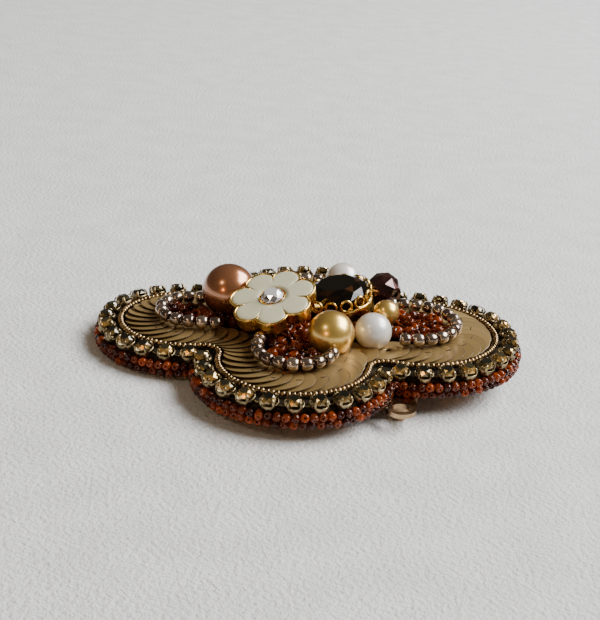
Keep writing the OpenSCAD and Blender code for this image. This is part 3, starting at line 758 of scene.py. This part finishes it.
# The thread that holds them shows as a short stitch on every second one: place and radius along it
stitch_path = ((1.95, 0.04), (2.15, 0.065), (2.55, 0.065), (2.75, 0.04))
six_turns = [2 * math.pi * k / 6 for k in range(6)]
stitch_shape = pattern_shape("stitch_shape", *skin([
    [Vector((r * math.cos(t), y, 0.05 + r * math.sin(t))) for t in six_turns] for y, r in stitch_path]))
thread_finish = new_finish("brown_thread", {
    "Base Color": (0.07, 0.032, 0.014, 1), "Roughness": 0.7})
stitches = on_spots("sequin_stitches", sequin_spots[::2], stitch_shape, 10, thread_finish)
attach(stitches, "root")


# Silvery bead loops
# Metal-coated seed beads on the inner edge of the sequins, one horseshoe on each lobe, open
# towards the middle. The beads lie on their sides, threaded one after the other.

# Each loop's first and last angle from its lobe's heading, and the lengths of its straight arms
LOOPS = [("bead_loop_left", -90, 90, 0.4, 4), ("bead_loop_front", -90, 85, 2.2, 0),
         ("bead_loop_right", -90, 90, 1.4, 2.2), ("bead_loop_back", -12, 90, 0, 2.6)]
LOOP_Z = SEQUIN_Z + SEQUIN_R * math.sin(SEQUIN_LEAN) + 0.95
LOOP_GROW = -7.35
LOOP_INWARDS = 0.7


def loop_line(lobe, first, last, arm_1, arm_2):
    """The thread of a loop: an arm, an arc round the lobe and another arm, all at one height."""
    x, y, r = LOBES[lobe]
    out = Vector((math.cos(heading(lobe)), math.sin(heading(lobe)), 0))
    centre = Vector((x, y, LOOP_Z)) - LOOP_INWARDS * out

    def on_loop(angle, arm=0.0):
        a = heading(lobe) + angle
        return centre + (r + LOOP_GROW) * Vector((math.cos(a), math.sin(a), 0)) - arm * out

    first, last = math.radians(first), math.radians(last)
    run = [on_loop(first, arm_1)] if arm_1 else []
    run += [on_loop(first + (last - first) * k / 24) for k in range(25)]
    return run + ([on_loop(last, arm_2)] if arm_2 else [])


silver_bead = bead_shape("silver_bead", 1.8, 1.62, 0.36, 14, 8)
silver_finish = new_finish("silver_bronze_bead", {
    "Metallic": 0.95, "Roughness": 0.22, "Coat Weight": 1.0, "Coat Roughness": 0.03})
add_tones(silver_finish, (0.20, 0.135, 0.095), (0.66, 0.53, 0.43), 1.3)
for lobe, (node_name, *loop) in enumerate(LOOPS):
    beads = in_row("silver_" + node_name, loop_line(lobe, *loop), {
        "Shape": silver_bead, "Pitch": 1.74, "Size spread": 0.03, "Tilt spread": 0.12,
        "Seed": 20 + lobe, "Finish": silver_finish})
    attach(beads, "root")
    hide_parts(node_name)


# Amber beds
# Dark amber seed beads that fill the horseshoes and the ground under the flower and the pearls.
# They're sewn one by one, so some show their holes and some lie on their sides.

BED_PITCH = 1.55
BED_ROW = 1.36
BED_INSET = 9.6
BED_Z = 2.98
MIDDLE_BED = Vector((-1.5, -1.0))
MIDDLE_BED_R = 6.0
FLOWER = Vector((-4.53, -3.2, 8.45))
AT_SETTING = (Matrix.Translation((3.82, 6.7, 5.84)) @ Matrix.Rotation(math.radians(4.5), 4, "X")
              @ Matrix.Rotation(math.radians(-9.8), 4, "Y") @ Matrix.Translation((0, 0, -2.6)))
# How far a bead's middle stays from a pearl, the setting's wall and foot, and the post's middle
BY_PEARL, BY_SETTING, UNDER_SETTING, BY_POST = 0.65, 0.7, 0.75, 1.9
chance = random.Random(12)


def in_bed(place, inset):
    """True where a bead has room, that far inside the outline and clear of what stands in the bed."""
    flat = place.xy
    if min((flat - Vector(notch(lobe, 0))).length for lobe in range(4)) < inset:
        return False
    corners = [Vector(lobe[:2]) for lobe in LOBES]
    within = all((corners[(k + 1) % 4] - corners[k]).cross(flat - corners[k]) > 0 for k in range(4))
    if not within and all((flat - corners[k]).length > LOBES[k][2] - inset for k in range(4)):
        return False
    if any((place - middle).length < r + BY_PEARL for middle, r in ROUNDS):
        return False
    in_setting = AT_SETTING.inverted() @ place
    if in_setting.xy.length < SETTING_R + BY_SETTING and in_setting.z > -UNDER_SETTING:
        return False
    return (flat - FLOWER.xy).length > BY_POST


def bed_of(place):
    """Number of the bed: that of the lobe it lies towards, or 4 under the flower."""
    away = place.xy - MIDDLE_BED
    if away.length < MIDDLE_BED_R:
        return 4
    return max(range(4), key=lambda lobe: away.dot(Vector(LOBES[lobe][:2]).normalized()))


# Two layers: their shift and height over the first, the share of places filled, and the inset
layers = ((Vector((0, 0, 0)), 1.0, BED_INSET), (Vector((0.75, 0.5, 0.7)), 0.4, 9.0))
bed_spots = [[] for _ in range(5)]
for row in range(-20, 21):
    for column in range(-20, 21):
        for shift, share, inset in layers:
            spot = Vector((BED_PITCH * (column + row / 2 % 1), BED_ROW * row, BED_Z)) + shift
            spot += Vector((chance.uniform(-0.16, 0.16), chance.uniform(-0.16, 0.16),
                            chance.uniform(-0.05, 0.1)))
            against_loop = inset < BED_INSET and not in_bed(spot, BED_INSET)
            if in_bed(spot, inset) and (against_loop or chance.random() < share):
                tip = chance.uniform(0, 0.45) if chance.random() < 0.6 else chance.uniform(0.9, 1.5)
                turn = Matrix.Rotation(chance.uniform(0, 6.3), 3, "Z") @ Matrix.Rotation(tip, 3, "X")
                size = chance.uniform(0.93, 1.05)
                bed_spots[bed_of(spot)].append((spot, turn.to_euler(), (size, size, size)))
bed_bead = bead_shape("bed_bead", 1.55, 1.2, 0.42, 14, 6)
for number, node_name in enumerate(("amber_fill_left", "amber_fill_front", "amber_fill_right",
                                    "amber_fill_back", "amber_fill_middle")):
    bed = on_spots(node_name + "_beads", bed_spots[number], bed_bead, 31 + number, amber_finish)
    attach(bed, "root")
    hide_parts(node_name)


# Pearls
# Lacquered bead pearls in copper, gold and white, each sewn down through its drilled hole. The
# lacquer is thick and soft, so the light spreads in it, and a darker rim is painted on as painted shade.

def pearl_shape(name, place, diameter):
    """A sphere with a drilled hole that runs sideways, its mouths slightly rounded."""
    hole = 0.45
    r = diameter / 2
    start = math.asin(hole * 1.15 / r)
    profile = [(hole, -math.cos(start) * r + 0.12)]
    for k in range(41):
        a = start + (math.pi - 2 * start) * k / 40
        profile.append((r * math.sin(a), -r * math.cos(a)))
    profile.append((hole, math.cos(start) * r - 0.12))
    points, faces = lathe(profile, 64)
    turn = (Matrix.Translation(place) @ Matrix.Rotation(math.radians(90), 4, "Y")
            @ Matrix.Rotation(math.radians(20), 4, "Z"))
    piece = make_piece(name, [turn @ p for p in points], faces)
    recalculate(piece)
    return piece


def pearl_finish(name, face_colour, rim_shade_colour, metal, rough, coat_rough):
    """Lacquer whose colour goes from one to the other where the pearl turns away from the eye, as painted
    shade.
    """
    finish = new_finish(name, {
        "Metallic": metal, "Roughness": rough, "Coat Weight": 1.0, "Coat Roughness": coat_rough,
        "Coat IOR": 1.55})
    rim = add_to_finish(finish, "ShaderNodeLayerWeight", {"Blend": 0.35}, {})
    add_to_finish(finish, "ShaderNodeMix", {
        0: rim.outputs["Facing"], 6: (*face_colour, 1), 7: (*rim_shade_colour, 1)}, {2: "Base Color"},
        data_type="RGBA")
    return finish


# The second colour of each is the painted shade on its rim
copper = pearl_finish("copper_lacquer", (0.50, 0.21, 0.095), (0.30, 0.105, 0.048), 0.75, 0.25, 0.04)
gold = pearl_finish("gold_lacquer", (1.0, 0.68, 0.18), (0.60, 0.27, 0.035), 0.85, 0.3, 0.08)
white = pearl_finish("white_lacquer", (0.95, 0.96, 0.94), (0.74, 0.58, 0.40), 0.2, 0.35, 0.22)
for node_name, finish, slot in (
        ("copper_pearl", copper, "copper_pearl"), ("gold_pearl", gold, "gold_pearl"),
        ("white_pearl", white, "white_pearl"), ("small_gold_pearl", gold, "gold_pearl"),
        ("back_white_pearl", white, "white_pearl")):
    *place, diameter = PEARLS[node_name]
    pearl = pearl_shape(node_name + "_round", place, diameter)
    pearl.data.materials.append(finish)
    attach(pearl, "root")
    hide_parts(node_name)


# Cut bead
# A fire-polished bead of dark burgundy glass with a metallic coat. Its facets run in four rows
# round the hole, and one of them throws back a pinkish copper light.

burgundy = new_finish("burgundy_cut_glass", {
    "Metallic": 0.85, "Coat Weight": 1.0, "Coat Roughness": 0.03, "IOR": 1.55})
add_mottle(burgundy, 380, 3000, ((0.035, 0.012, 0.012), (0.16, 0.06, 0.05)), (0.08, 0.16))
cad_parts["faceted_bead"].data.materials.clear()
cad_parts["faceted_bead"].data.materials.append(burgundy)


# Enamelled flower
# A small casting in bright gold with seven petals. Ivory enamel fills it up to a thin rim, parted
# by short gold grooves, and a clear foiled stone sits in a collar in its middle.

AT_FLOWER = (Matrix.Translation(FLOWER) @ Matrix.Rotation(math.radians(17.2), 4, "X")
             @ Matrix.Rotation(math.radians(-10.8), 4, "Y"))
PETALS = 7
FIRST_PETAL = math.radians(20.3)
PETAL_AT = 3.85
GROOVE_HALF = 0.042
FLOWER_SIDES = 504


def polar(reach, k, z):
    """A point on the flower, on its spoke number k."""
    angle = 2 * math.pi * k / FLOWER_SIDES
    return Vector((reach * math.cos(angle), reach * math.sin(angle), z))


def flower_ring(r, inner, z, groove=0.0):
    """Outline of round petals of radius r, with a groove of that length at the cusps between them."""
    ring = []
    for k in range(FLOWER_SIDES):
        off = abs(math.remainder(2 * math.pi * k / FLOWER_SIDES - FIRST_PETAL, 2 * math.pi / PETALS))
        inside = r * r - (PETAL_AT * math.sin(off)) ** 2
        reach = max(inner, PETAL_AT * math.cos(off) + math.sqrt(inside)) if inside > 0 else inner
        reach -= groove * max(0.0, 1 - ((math.pi / PETALS - off) / GROOVE_HALF) ** 2)
        ring.append(polar(reach, k, z))
    return ring


def round_ring(r, z):
    return [polar(r, k, z) for k in range(FLOWER_SIDES)]


gold_finish = new_finish("bright_gold", {"Metallic": 1.0})
add_mottle(gold_finish, 420, 2600, ((0.84, 0.47, 0.09), (1.0, 0.70, 0.20)), (0.15, 0.32), 0.4, 0.08)
# From the underside up the wall and over the rim, down to the floor under the enamel, and then
# over the collar and into the seat of the stone
CUSP_R = 3.85
wall = [(2.18, -1.7), (2.25, -1.1), (2.28, -0.5), (2.34, -0.12), (2.31, 0.0), (2.2, 0.04)]
collar = [(1.9, -0.33), (1.88, 0.0), (1.86, 0.07), (1.82, 0.1), (1.79, 0.07), (1.77, 0.0), (1.7, -0.9)]
casting_rings = [round_ring(1.5, -2.2), flower_ring(1.7, 3.6, -2.2), flower_ring(2.02, 3.8, -2.05)]
casting_rings += [flower_ring(r, CUSP_R, z) for r, z in wall]
casting_rings += [flower_ring(r, CUSP_R, z, 0.85) for r, z in ((2.08, 0.0), (2.05, -0.33))]
casting_rings += [round_ring(r, z) for r, z in collar]
points, faces = skin(casting_rings)
casting = make_piece("flower_gold", [AT_FLOWER @ p for p in points], faces)
recalculate(casting)
post_points, post_faces = lathe([(0.02, 2.32), (1.1, 2.32), (1.2, 2.5), (1.15, 6.6), (0.02, 6.6)], 32)
post = make_piece("flower_post", [p + Vector((*FLOWER.xy, 0)) for p in post_points], post_faces)
recalculate(post)
casting = join("flower_gold_casting", [casting, post], gold_finish)
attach(casting, "root")
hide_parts("flower_casting")

enamel_finish = new_finish("ivory_enamel", {
    "Coat Weight": 1.0, "Coat Roughness": 0.04, "Subsurface Weight": 0.15, "Subsurface Scale": 0.0006,
    "Subsurface Radius": (1.0, 0.8, 0.6)})
add_mottle(enamel_finish, 160, 1500, ((0.67, 0.64, 0.43), (0.72, 0.70, 0.49)), (0.18, 0.28), 0.04, 0.02)
# From the floor up the petals' edge and over their round tops to the collar, and back to the start
enamel_rings = [round_ring(1.93, -0.3), flower_ring(2.0, 3.8, -0.3, 0.9),
                flower_ring(2.0, 3.8, -0.08, 0.9), flower_ring(1.96, 3.78, 0.0, 0.9),
                flower_ring(1.86, 3.7, 0.05, 0.75), flower_ring(1.6, 3.5, 0.09, 0.4),
                flower_ring(1.2, 3.1, 0.11), round_ring(2.6, 0.1), round_ring(1.96, 0.08),
                round_ring(1.93, -0.02), round_ring(1.93, -0.3)]
points, faces = skin(enamel_rings, capped=False)
enamel = make_piece("petal_enamel", [AT_FLOWER @ p for p in points], faces)
recalculate(enamel)
enamel.data.materials.append(enamel_finish)
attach(enamel, "root")
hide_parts("flower_enamel")


def clear_painted_sparkle(face):
    """Painted reflections: light on the table, and anything on the crown."""
    return 0.9 if is_table(face) else 0.5 + 0.5 * math.sin(face.index * 78.233 + 1.0)


def placed_stone(name, cut, place, finish):
    """A single stone copied from a cut shape, with its tints."""
    stone = make_piece(name, [place @ v.co for v in cut.data.vertices],
                       [tuple(face.vertices) for face in cut.data.polygons], smooth=False)
    store_tints(stone, "FACE", [tint.value for tint in cut.data.attributes["facet"].data])
    stone.data.materials.append(finish)
    return stone


chaton = cut_shape("chaton_shape", [
    (0.2, -0.8, 0), (1.68, -0.02, 1), (1.7, 0.08, 1), (1.42, 0.5, 2), (0.95, 0.88, 3)], 8, clear_painted_sparkle)
chaton_finish = new_finish("clear_foiled_stone", {
    "Metallic": 0.4, "Roughness": 0.05, "Coat Weight": 1.0, "Coat Roughness": 0.01})
# The facet colours are painted reflections on the clear stone
add_facets(chaton_finish, (0.12, 0.10, 0.10), (0.75, 0.70, 0.72), (1.0, 0.99, 1.0), 0.0)
clear_stone = placed_stone("flower_stone", chaton, AT_FLOWER, chaton_finish)
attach(clear_stone, "root")
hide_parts("flower_crystal")


# Stone setting
# Gallery wire in bright gold, soldered round the large stone: a flat band at the foot, and above
# it a row of round loops whose tops hold the stone's edge.

LOOP_WIRE_R = 0.2
LOOP_R = 0.8
LOOP_COUNT = 14
wire = [(LOOP_R + LOOP_WIRE_R * math.sin(t), LOOP_WIRE_R * math.cos(t)) for t in six_turns]
points, faces = lathe(wire, 14)
loop_shape = pattern_shape("gallery_loop", [p.zxy for p in points], faces)
gallery_spots = []
for k in range(LOOP_COUNT):
    around = AT_SETTING @ Matrix.Rotation(math.radians(7 + k * 360 / LOOP_COUNT), 4, "Z")
    gallery_spots.append((around @ Vector((4.82, 0, 2.6)), around.to_euler(), (1, 1, 1)))
gallery_loops = on_spots("gallery_loops", gallery_spots, loop_shape, 41, gold_finish)
band_points, band_faces = lathe([
    (0.02, 0.0), (4.9, 0.0), (SETTING_R, 0.1), (4.98, 1.4), (SETTING_R, 1.62), (4.94, 1.76), (4.8, 1.78),
    (4.72, 1.6), (4.7, 0.5), (0.02, 0.5)], 84)
band = make_piece("gallery_band", [AT_SETTING @ p for p in band_points], band_faces)
recalculate(band)
setting = join("gold_gallery", [gallery_loops, band], gold_finish)
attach(setting, "root")
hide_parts("gallery_setting")


# Smoky stone
# A large round cut glass stone, brown-black and foiled, held in the gallery. Its facets are flat
# and sharp, a few of them catch the window, and a few are painted brown, as painted reflections.

def smoky_painted_glints(face):
    """Dark on the table, and brown on a few facets of the crown, as painted reflections."""
    return 0.15 if is_table(face) else 0.5 + 0.5 * math.sin(face.index * 7.7) ** 3


smoky_cut = cut_shape("smoky_cut", [
    (1.4, -2.2, 0), (4.62, 0, 0), (4.65, 0.12, 0), (4.6, 0.28, 0), (3.8, 1.05, 1), (2.8, 1.55, 2)], 12,
    smoky_painted_glints)
smoky_finish = new_finish("smoky_black_glass", {
    "Roughness": 0.03, "IOR": 1.5, "Specular IOR Level": 0.35})
# The light colour is the painted brown reflection on a few facets
add_facets(smoky_finish, (0.002, 0.0015, 0.001), (0.005, 0.003, 0.002), (0.045, 0.017, 0.006), 0.0)
at_girdle = AT_SETTING @ Matrix.Translation((0, 0, 2.85))
smoky = placed_stone("smoky_glass", smoky_cut, at_girdle, smoky_finish)
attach(smoky, "root")
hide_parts("smoky_stone")


# Pin back
# A stamped bar in pale gold with a round sewing hole at each end, and the pin in its knuckle and
# catch. Only the front end shows, below the notch between two lobes.

pin_finish = new_finish("pale_gold_plate", {"Metallic": 1.0})
add_mottle(pin_finish, 500, 4000, ((0.32, 0.20, 0.11), (0.54, 0.38, 0.225)), (0.18, 0.3), 0.15, 0.03)
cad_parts["pin_back"].data.materials.clear()
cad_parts["pin_back"].data.materials.append(pin_finish)


# Table and light
# A pale cotton cloth on a table, a large window behind the brooch on the right, and two small
# warm lamps, one on the left and one low in front.

cloth = make_piece("table_cloth", [(-1.5, -1.2, 0), (1.5, -1.2, 0), (1.5, 3, 0), (-1.5, 3, 0)],
                   [(0, 1, 2, 3)], lie=False)
cloth_finish = new_finish("pale_cloth", {"Specular IOR Level": 0.15})
add_mottle(cloth_finish, 150, 1500, ((0.735, 0.74, 0.73), (0.825, 0.83, 0.82)), (0.85, 0.95), 0.75, 0.6)
cloth.data.materials.append(cloth_finish)


def soft_light(name, place, width, height, watts, colour):
    """A soft light in metres, turned towards the brooch."""
    lamp = bpy.data.lights.new(name, "AREA")
    lamp.shape = "RECTANGLE"
    lamp.size, lamp.size_y = width, height
    lamp.energy = watts
    lamp.color = colour
    light = add_object(name, lamp)
    light.location = place
    light.rotation_euler = (-Vector(place)).to_track_quat("-Z", "Y").to_euler()


soft_light("window", (0.57, 0.25, 0.65), 0.85, 0.45, 20.2, (0.98, 0.99, 1.0))
soft_light("lamp_left", (-0.42, -0.47, 0.63), 0.09, 0.09, 0.7, (1.0, 0.84, 0.62))
soft_light("lamp_front", (-0.3, -0.78, 0.3), 0.12, 0.12, 0.7, (1.0, 0.55, 0.2))
world = bpy.data.worlds.new("room")
world.use_nodes = True
room_light = world.node_tree.nodes["Background"].inputs
room_light["Color"].default_value = (1.0, 0.84, 0.66, 1)
room_light["Strength"].default_value = 0.1
bpy.context.scene.world = world

for shape in pattern_shapes:
    bpy.data.objects.remove(shape)
